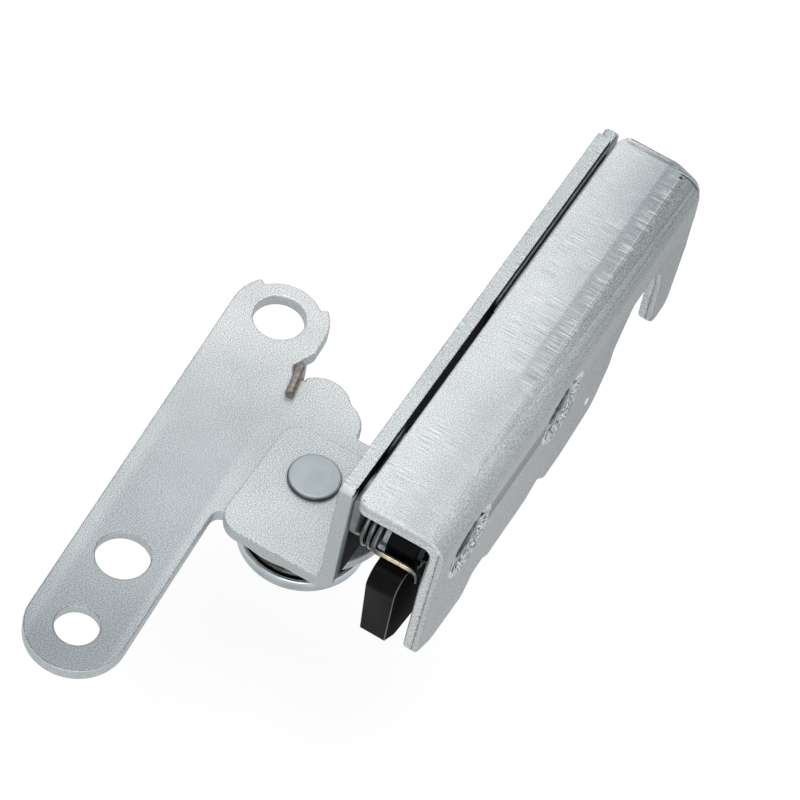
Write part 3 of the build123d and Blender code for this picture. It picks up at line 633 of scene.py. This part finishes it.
class LATCH_OT_cover(bpy.types.Operator):
    """Build the folded cover and the plate beside it"""

    bl_idname = "latch.cover"
    bl_label = "Cover"

    def execute(self, context):
        sizes = context.scene.latch_finish
        # Zinc-plated cold-rolled steel, drawn over a bending tool and barrel-plated: pale and finely speckled, with
        # draw marks across the web and a worn band beside the bend. Painted shade darkens the web towards the bend,
        # the bend and flange, the lines where the bends start and a band along the flange's crease between the
        # tapped holes, and leaves a painted highlight along the web's left edge
        zinc = plated_steel(
            "rolled_zinc_plate", "f9fbfc", "a2acb0",
            zones=(
                # Painted shade: the web darker from its left edge towards the bend, which leaves a painted
                # highlight along the edge
                (("Y", 12.0, 4.0), ("Y", -0.5, 1.6), "e6e8e9"),
                # Painted shade: the far half of the web darker towards the bend
                (("X", 40.0, 85.0), ("Y", 16.0, 8.0), ("Y", -0.5, 1.6), "eceeef"),
                (("Y", 6.6, 6.0, 2.6), ("Y", 1.7, 1.85), ("X", 20.0, 45.0), "d8dadb"),
                # Painted shade: the bend and the flange darker than the web
                (("Y", 1.75, -0.5), "e0e2e3"),
                # Painted shade: a dark line where the bend starts, along its far part
                (("Y", 1.6, 1.4), ("X", 10.0, 75.0), "dddfe0"),
                # Painted shade: a darker band along the flange's crease between the tapped holes
                (("Z", 4.6, 2.6), ("Z", -2.4, -1.4), ("X", 1.0, 5.0), ("X", 36.0, 31.0), "bcbebf"),
                # Painted shade: a dark line where the end wall bends down from the web
                (("X", 90.3, 90.8), ("X", 91.5, 91.1), ("Y", -1.0, 2.0), ("Y", 15.0, 13.0), "c0c2c3"),
            ),
            scratches=(
                (0.55, 9.0, "ffffff", "98a1a4", ("Z", 13.0, 13.6)),
                (0.8, 3.0, "e4e9eb", "8d9699", ("Z", 13.0, 13.6), ("Y", 8.0, 5.0, 3.0), ("X", 5.0, 40.0)),
            ),
            pebbles=(0.3, 0.7, (("Z", 3.0, 7.0), ("Y", 2.2, 1.2))))
        # Zinc-plated steel edge, blanked in a press: a smooth cut rim outside and a bright torn zone inside
        edge = sheared_edge(
            "sheared_cover_edge", "dfe5e8", "b8c0c3",
            torn=((("Z", 12.7, 12.4), ("Y", -1.9, -1.6)),),
            seams=((("Y", -2.0, -1.8), ("Y", -1.4, -1.6), ("Z", 12.0, 11.0), "909090"),))
        shape = merged_copy("housing_cover")
        round_corner(shape, sizes.corner_r)
        square_front(shape)
        shallow_dimples(shape)
        cut_threads(shape)
        raise_pip(shape)
        crease_flange(shape, sizes.crease_depth)
        cover = eased_piece(shape, "cover_skin", "housing_cover", zinc, sizes.cover_edge, weigh=cover_easing)
        crease = cover.data.attributes["sharp_edge"]
        for line in cover.data.edges:
            ends = [cover.data.vertices[index].co for index in line.vertices]
            if all(abs(end.z) < 0.01 * MM and end.y < 0 for end in ends):
                crease.data[line.index].value = True
        second_finish(
            cover, edge,
            lambda place, normal: normal.x < -0.85 and place.x < FRONT + 1.0
            or abs(normal.y) < 0.3 and place.z < 9.0 and place.y < 0.5 and place.y > FLANGE_FACE + 0.5)
        # Steel burnished by the dimple punch: a slick dish, its tone speckled light and dark as painted glints
        # round each thread
        dish = smooth_steel("dimple_steel_painted_glints", "cbd2d5", "4a5154", roughness=0.22, grain_mm=0.5)
        second_finish(
            cover, dish,
            lambda place, normal: FLANGE_FACE + 0.05 < place.y < -1.0 and abs(normal.y) < 0.97 and any(
                4.0 < math.hypot(place.x - hole_x, place.z) < 7.9 for hole_x in THREADED_HOLES))
        # Oiled steel, tapped after plating: grey flanks that sink into shadow
        bore = smooth_steel("oiled_bore_steel", "b0b7ba", "8a9194", roughness=0.3)
        # Freshly cut steel, left bright by the tap and toned near white as a painted highlight: the thin light
        # lines of the thread's crests
        crest = smooth_steel("cut_thread_steel_painted_highlight", "f2f5f6", "d3d9db", roughness=0.25)
        for finish, least, most in ((bore, 3.5, 4.0), (crest, 0.0, 3.5)):
            second_finish(
                cover, finish,
                lambda place, normal: place.y < 0.5 and abs(normal.y) < 0.9 and any(
                    least < math.hypot(place.x - hole_x, place.z) < most for hole_x in THREADED_HOLES))
        # The pip takes the same near-white steel as a painted highlight
        second_finish(
            cover, crest,
            lambda place, normal: math.hypot(place.x - PIP_X, place.z - PIP_Z) < 0.9 and place.y < -1.5)
        # Zinc-plated steel, rolled, seen as a grey strip in the slot beside the web: painted shade makes it nearly
        # black before its window and along its inner top edge, and it is darker at the front lug
        slot_plate_shade = smooth_steel(
            "slot_zinc_painted_shade", "eef2f4", "c3cacd", roughness=0.35, metallic=0.4, grain_mm=2.0,
            zones=(
                (("X", 9.0, 1.0), ("X", -9.0, -3.0), "2c2d2e"), (("X", -6.0, -9.0), "8a8c8e"),
                (("Y", 16.5, 16.8), ("Z", 9.8, 10.4), ("X", -6.0, -3.0), "242526")))
        eased_piece(
            merged_copy("side_plate"), "side_plate_skin", "side_plate", slot_plate_shade, 0.8, segments=4,
            weigh=lambda middle: 1.0 if middle.x < -11.5 else 0.35)
        return {"FINISHED"}


class LATCH_OT_bracket(bpy.types.Operator):
    """Build the hinge bracket"""

    bl_idname = "latch.bracket"
    bl_label = "Hinge Bracket"

    def execute(self, context):
        sizes = context.scene.latch_finish
        # Zinc-plated steel, shot-blasted before plating: an even sparkle, with draw marks along the top edge, and
        # painted shade darkening its inner face beside the slot
        zinc = plated_steel(
            "blasted_zinc_plate", "eff4f6", "869093", roughness=0.45, relief=0.35,
            zones=((("Y", 17.9, 17.3), ("Z", 7.5, 10.0), ("Z", 13.9, 13.5), "505050"),),
            scratches=((0.8, 5.0, "f6f9fa", "8d9699", ("Z", 12.8, 13.4)),))
        # Zinc-plated steel edge, blanked and brushed: plain light grey
        edge = sheared_edge("sheared_bracket_edge", "d2d9dc", "b6bdc0")
        bracket = eased_piece(
            merged_copy("hinge_bracket"), "bracket_skin", "hinge_bracket", zinc, 2 * sizes.bracket_edge,
            weigh=lambda middle: 1.0 if middle.x > 85.0 or middle.x < -12.0 and middle.z > 13.0 else 0.5)
        second_finish(
            bracket, edge, lambda place, normal: normal.x < -0.5 or place.z < -15.0 and abs(normal.z) < 0.5)
        # The same plate toned near white as a painted highlight: the glint on the standing plate's front corner
        glint = smooth_steel("zinc_corner_painted_glint", "f6fcff", "ecf4f7", roughness=0.5, metallic=0.0)
        second_finish(
            bracket, glint,
            lambda place, normal: place.x < -12.0 and place.z > 13.0 and normal.x < -0.3 and normal.z > 0.3)
        # The same plate where it lies against the side plate, toned as painted shade: black behind the window and
        # under the rim, with a grey strip on either side of the window where the painted shade is lighter
        bracket_slot_shade = smooth_steel(
            "bracket_slot_painted_shade", "dfe4e6", "bcc4c7", roughness=0.8, metallic=0.0, specular=0.1,
            zones=(
                (("Z", 12.4, 12.7), "1c1d1e"), (("X", 5.0, 8.0), ("X", 44.0, 42.0), "101112"),
                (("X", 4.0, 0.0), ("X", -12.0, -10.0), "101112"),
                (("Z", 9.5, 8.0), ("X", 2.0, 6.0), ("X", 88.0, 84.0), "303132")))
        second_finish(bracket, bracket_slot_shade, lambda place, normal: normal.y < -0.97 and place.y < BRACKET_BACK + 0.3)
        return {"FINISHED"}


class LATCH_OT_arm(bpy.types.Operator):
    """Build the mounting arm"""

    bl_idname = "latch.arm"
    bl_label = "Mounting Arm"

    def execute(self, context):
        sizes = context.scene.latch_finish
        # Zinc-plated steel, tumbled in a barrel: soft speckle, with painted shade darker towards the far end and a
        # painted highlight along its edges
        zinc = plated_steel(
            "tumbled_zinc_plate", "ffffff", "8f9a9d", roughness=0.42, relief=0.35, metallic=0.45,
            turn=-ARM_LEAN,
            zones=(
                (("X", 36.0, 16.0), "e4e7e9"), (("X", -2.0, -55.0), "cbcdcf"),
                (("X", 25.0, -5.0), ("Y", 63.6, 61.6), ("Y", 46.4, 47.8), "ebedee")))
        # Zinc-plated steel edge, blanked and tumbled: light grey, a little rough
        edge = sheared_edge("sheared_arm_edge", "d8dee0", "b9c1c4")
        shape = merged_copy("arm_plate")
        # A punched hole flares towards its far side, where the slug broke out
        flare = 0.35
        for hole_x, hole_y, hole_r in ARM_PUNCHED_HOLES:
            for vert in shape.verts:
                out = Vector((vert.co.x - hole_x * MM, vert.co.y - hole_y * MM, 0))
                if vert.co.z < (ARM_UNDER + 0.1) * MM and abs(out.length - hole_r * MM) < 0.1 * MM:
                    vert.co += out.normalized() * flare * MM
        arm = eased_piece(shape, "arm_skin", "arm_plate", zinc, sizes.arm_edge, segments=4)
        second_finish(arm, edge, lambda place, normal: abs(normal.z) < 0.5)
        return {"FINISHED"}


class LATCH_OT_fixings(bpy.types.Operator):
    """Build rivets, pins, washers, bushes and the spring's cup"""

    bl_idname = "latch.fixings"
    bl_label = "Fixings"

    def execute(self, context):
        # Passivated steel, its head coined flat by the riveting tool: smooth mid grey
        rivet = smooth_steel("coined_rivet_steel", "a9b1b4", "9ea7aa", roughness=0.45, metallic=0.5, grain_mm=3.0)
        head = eased_piece(merged_copy("pivot_rivet"), "pivot_rivet_skin", "pivot_rivet", rivet, 0.3)
        # The same steel, darker on the head's sides as painted shade: the dark line round the rivet
        sides = smooth_steel("shaded_rivet_steel", "596063", "43494b", roughness=0.4)
        second_finish(head, sides, lambda place, normal: abs(normal.z) < 0.5)
        for node in ("front_plate_rivet", "middle_plate_rivet", "rear_plate_rivet"):
            refinish(node, rivet)
        # Bright-annealed steel, deep-drawn and polished: mirror-like bands round the cup
        cup = smooth_steel(
            "bright_pressed_steel", "ccd2d5", "bac1c4", roughness=0.2, grain_mm=4.0,
            zones=((("Z", -32.0, -34.0), "ccd0d2"),))
        eased_piece(merged_copy("spring_cup"), "spring_cup_skin", "spring_cup", cup, 0.35, segments=4)
        for node in ("upper_thrust_washer", "lower_thrust_washer"):
            refinish(node, cup)
        # Bare rolled steel, phosphated: dull, grainy mid grey
        cheek = smooth_steel("dull_cheek_steel", "8f979a", "6f777a", roughness=0.4, grain_mm=0.6)
        refinish("lever_cheek", cheek)
        # Blackened steel, turned and oxidised in a hot bath: near black with a low sheen
        burnished = smooth_steel("blackened_steel", "2c2e30", "1f2122", roughness=0.35)
        for node in ("pin_clip", "pin_washer"):
            refinish(node, burnished)
        shape = merged_copy("lever_pin")
        # The head is hammered nearly flush with the bracket, to a quarter of its height
        for vert in shape.verts:
            head = vert.co.y - BRACKET_FACE * MM
            if head > 0.1 * MM:
                vert.co.y -= 0.75 * head
        eased_piece(shape, "lever_pin_skin", "lever_pin", burnished, 0.1)
        # Black nylon, injection-moulded: dark and quiet inside the joints
        nylon = moulded_nylon("dark_bush_nylon", "1a1b1d", "121315")
        for node in ("pivot_bush", "spring_spool", "spring_sleeve", "lever_bush"):
            refinish(node, nylon)
        return {"FINISHED"}


class LATCH_OT_springs(bpy.types.Operator):
    """Build the arm's spring and the lever's spring"""

    bl_idname = "latch.springs"
    bl_label = "Springs"

    def execute(self, context):
        self.arm_spring()
        self.lever_spring()
        return {"FINISHED"}

    def arm_spring(self):
        """Five turns round the pivot, a leg through the arm's notch and a hook over the arm."""
        # Patented spring wire, drawn and oiled: brownish grey where it shows over the arm, cooler round the pivot
        wire = smooth_steel(
            "oiled_spring_wire", "98928b", "77716b", roughness=0.3, grain_mm=0.8,
            zones=((("Z", -22.0, -24.0), "9aa0a6"),))
        coil_r, turns, start_z, pitch = 10.8, 5, -33.7, 1.97
        notch_x, notch_y, over_z = 29.86, 48.08, ARM_TOP + 1.05
        start = math.atan2(notch_y - PIVOT_Y, notch_x - PIVOT_X) - math.acos(
            coil_r / math.hypot(notch_x - PIVOT_X, notch_y - PIVOT_Y))
        steps = 24
        points = []
        for step in range(turns * steps + 1):
            turn = start + 2 * math.pi * step / steps
            points.append((
                PIVOT_X + coil_r * math.cos(turn), PIVOT_Y + coil_r * math.sin(turn),
                start_z + pitch * step / steps))
        end = Vector(points[-1])
        foot = Vector((notch_x, notch_y, end.z + 0.15))
        run = (foot - end).normalized()
        over = Vector((math.cos(math.radians(191)), math.sin(math.radians(191)), 0))
        corner = Vector((notch_x, notch_y, over_z))
        points += [
            end + run * 5, foot - run * 6, foot - run * 1.6, foot, foot + Vector((0, 0, 1.4)),
            corner - Vector((0, 0, 1.4)), corner, corner + over * 1.6, corner + over * 4, corner + over * 7.8]
        round_wire("arm_spring_wire", "arm_spring", points, 0.96, wire)

    def lever_spring(self):
        """Two turns round the pin, a straight tail, and a leg that hooks over the lever."""
        # Bright spring wire, drawn through a die: dark steely coils and hook end, and a painted warm glint along
        # the leg
        wire = smooth_steel(
            "bright_spring_wire", "d6cab4", "b3a791", roughness=0.22, grain_mm=0.8,
            zones=((("Y", 8.0, 10.5), "737f92"), (("Y", 4.2, 2.6), "737f92")))
        coil_r, turns, start_y, pitch = 4.7, 2, 11.4, 1.45
        leg_x, leg_z, hook_y = -12.6, 1.0, 1.7
        start = math.atan2(leg_z - PIN_Z, leg_x - PIN_X) - math.acos(
            coil_r / math.hypot(leg_x - PIN_X, leg_z - PIN_Z))
        steps = 20
        coil = []
        for step in range(turns * steps + 1):
            turn = start - 2 * math.pi * step / steps
            coil.append((
                PIN_X + coil_r * math.cos(turn), start_y + pitch * step / steps,
                PIN_Z + coil_r * math.sin(turn)))
        corner = Vector((leg_x, start_y, leg_z))
        run = (corner - Vector(coil[0])).normalized()
        hook = Vector((leg_x, hook_y, leg_z))
        leg = [
            hook - Vector((0, 0.1, 2.4)), hook - Vector((0, 0, 1.4)), hook - Vector((0, 0, 0.2)),
            hook + Vector((0, 1.6, 0)), hook + Vector((0, 4.0, 0)), corner - Vector((0, 1.6, 0)),
            corner - Vector((0, 0.3, 0)), corner - run * 1.2]
        tail = Vector((math.sin(start), 0, -math.cos(start)))
        end = Vector(coil[-1])
        round_wire(
            "lever_spring_wire", "lever_spring", [*leg, *coil, end + tail * 2.5, end + tail * 5.0], 0.68, wire)


class LATCH_OT_lever(bpy.types.Operator):
    """Build the catch lever"""

    bl_idname = "latch.lever"
    bl_label = "Catch Lever"

    def execute(self, context):
        # Glass-filled black nylon, injection-moulded: matt black with a faint sheen
        nylon = moulded_nylon("lever_black_nylon", "0a0b0c", "050606", specular=0.07)
        # The same nylon, toned pale as a painted highlight: the light line down the lever's edge
        edge_highlight = moulded_nylon("nylon_painted_edge_highlight", "8a8b8b", "5d5e5e", roughness=0.35)
        # The same nylon on its side facing -Y: blacker as painted shade, and flatter
        side_shade = moulded_nylon("nylon_painted_side_shade", "060607", "030303", roughness=0.75, specular=0.03)
        shape = merged_copy("catch_lever")
        shape.normal_update()
        outline = [
            line for line in shape.edges
            if line.calc_face_angle(0.0) > math.radians(60) and all(
                vert.co.y < (LEVER_RIGHT + 0.05) * MM and vert.co.x < -13.6 * MM and vert.co.z > -18.2 * MM
                for vert in line.verts)]
        bmesh.ops.bevel(
            shape, geom=outline, offset=0.25 * MM, offset_type="OFFSET", segments=5, profile=0.5,
            affect="EDGES", material=-1, clamp_overlap=False)
        lever = eased_piece(
            shape, "lever_skin", "catch_lever", nylon, context.scene.latch_finish.lever_edge,
            weigh=lambda middle: 0.0 if middle.y < 3.8 and middle.x < -13.0 and middle.z > -18.3 else 1.0)
        second_finish(lever, side_shade, lambda place, normal: normal.y < -0.97)
        second_finish(
            lever, edge_highlight,
            lambda place, normal: place.y < LEVER_RIGHT + 0.25 and -0.97 < normal.y < -0.3 and place.x < -13.2
            and place.z > -18.0)
        return {"FINISHED"}


class LATCH_OT_stage(bpy.types.Operator):
    """Build floor, lamps and camera"""

    bl_idname = "latch.stage"
    bl_label = "Stage"

    def execute(self, context):
        look = context.scene.latch_stage
        self.camera(context, look)
        self.floor()
        self.lamps(context, look)
        return {"FINISHED"}

    def camera(self, context, look):
        """Places the camera as the photograph's was."""
        az, el, roll = look.azimuth, look.elevation, look.roll
        back = Vector((math.sin(az) * math.cos(el), -math.cos(az) * math.cos(el), math.sin(el)))
        right = Vector((math.cos(az), math.sin(az), 0.0))
        up = back.cross(right)
        across = math.cos(roll) * right + math.sin(roll) * up
        upward = -math.sin(roll) * right + math.cos(roll) * up
        lens = bpy.data.cameras.new("photo_camera")
        lens.sensor_width = 36.0
        lens.lens = look.focal_mm
        lens.clip_start = 0.05
        lens.clip_end = 20.0
        camera = bpy.data.objects.new("photo_camera", lens)
        turn = Matrix((across, upward, back)).transposed().to_4x4()
        camera.matrix_world = Matrix.Translation(Vector(look.target) + back * look.distance) @ turn
        context.scene.collection.objects.link(camera)
        context.scene.camera = camera

    def floor(self):
        """Pale floor that reads white to the eye and in reflections, and keeps a faint shadow."""
        shape = bmesh.new()
        bmesh.ops.create_grid(shape, x_segments=1, y_segments=1, size=4.0)
        bmesh.ops.translate(shape, verts=shape.verts, vec=(0, 0, cad_box[0][2] - 0.03))
        mesh = bpy.data.meshes.new("floor")
        shape.to_mesh(mesh)
        shape.free()
        floor = bpy.data.objects.new("floor", mesh)
        bpy.context.scene.collection.objects.link(floor)
        # Matt white studio paper: bright to the eye and in reflections, with only the latch's shadow on it
        material, tree, output, place = blank_material("pale_floor")
        glow = add_node(
            tree, "ShaderNodeMath", {"operation": "MULTIPLY"}, {0: seen_rays(tree), 1: FLOOR_GLOW})
        white = add_node(
            tree, "ShaderNodeEmission", inputs={"Color": (1, 1, 1, 1), "Strength": glow.outputs["Value"]})
        matt = add_node(tree, "ShaderNodeBsdfDiffuse", inputs={"Color": srgb("8c8c8c")})
        both = add_node(
            tree, "ShaderNodeAddShader", inputs={0: matt.outputs["BSDF"], 1: white.outputs["Emission"]})
        tree.links.new(both.outputs["Shader"], output.inputs["Surface"])
        mesh.materials.append(material)

    def lamps(self, context, look):
        """Even world, one soft lamp above and a low one before the latch's front end."""
        world = bpy.data.worlds.new("studio_world")
        world.use_nodes = True
        tree = world.node_tree
        tree.nodes.clear()
        output = add_node(tree, "ShaderNodeOutputWorld")
        level = add_node(
            tree, "ShaderNodeMapRange", inputs={"Value": seen_rays(tree), "To Min": look.world_level})
        sky = add_node(
            tree, "ShaderNodeBackground", inputs={"Color": (1, 1, 1, 1), "Strength": level.outputs["Result"]})
        tree.links.new(sky.outputs["Background"], output.inputs["Surface"])
        context.scene.world = world
        for name, watts, size, place, aim in (
                ("key_lamp", look.key_watts, look.key_size, Vector(look.key_place), Vector((0.02, 0.03, 0.0))),
                ("fill_lamp", look.fill_watts, look.fill_size, Vector(look.fill_place), Vector())):
            light = bpy.data.lights.new(name, "AREA")
            light.energy = watts
            light.size = size
            lamp = bpy.data.objects.new(name, light)
            turn = (place - aim).to_track_quat("Z", "Y").to_matrix().to_4x4()
            lamp.matrix_world = Matrix.Translation(place) @ turn
            context.scene.collection.objects.link(lamp)
        context.scene.view_settings.view_transform = "Standard"


class LATCH_PT_panel(bpy.types.Panel):
    """Lists the latch's settings and builders."""

    bl_idname = "LATCH_PT_panel"
    bl_label = "Door Latch"
    bl_space_type = "VIEW_3D"
    bl_region_type = "UI"
    bl_category = "Latch"

    def draw(self, context):
        column = self.layout.column()
        for operator in BUILDERS:
            column.operator(operator.bl_idname)
        for group in (context.scene.latch_finish, context.scene.latch_stage):
            for name in type(group).__annotations__:
                column.prop(group, name)


BUILDERS = (
    LATCH_OT_cover, LATCH_OT_bracket, LATCH_OT_arm, LATCH_OT_fixings, LATCH_OT_springs, LATCH_OT_lever,
    LATCH_OT_stage,
)
CLASSES = (LatchFinish, LatchStage, *BUILDERS, LATCH_PT_panel)


def register():
    """Registers the classes and their settings."""
    for item in CLASSES:
        bpy.utils.register_class(item)
    bpy.types.Scene.latch_finish = bpy.props.PointerProperty(type=LatchFinish)
    bpy.types.Scene.latch_stage = bpy.props.PointerProperty(type=LatchStage)


def unregister():
    """Removes the classes and their settings."""
    del bpy.types.Scene.latch_stage
    del bpy.types.Scene.latch_finish
    for item in reversed(CLASSES):
        bpy.utils.unregister_class(item)


def main():
    """Builds every piece."""
    register()
    bpy.ops.latch.cover()
    bpy.ops.latch.bracket()
    bpy.ops.latch.arm()
    bpy.ops.latch.fixings()
    bpy.ops.latch.springs()
    bpy.ops.latch.lever()
    bpy.ops.latch.stage()


if __name__ == "__main__":
    main()
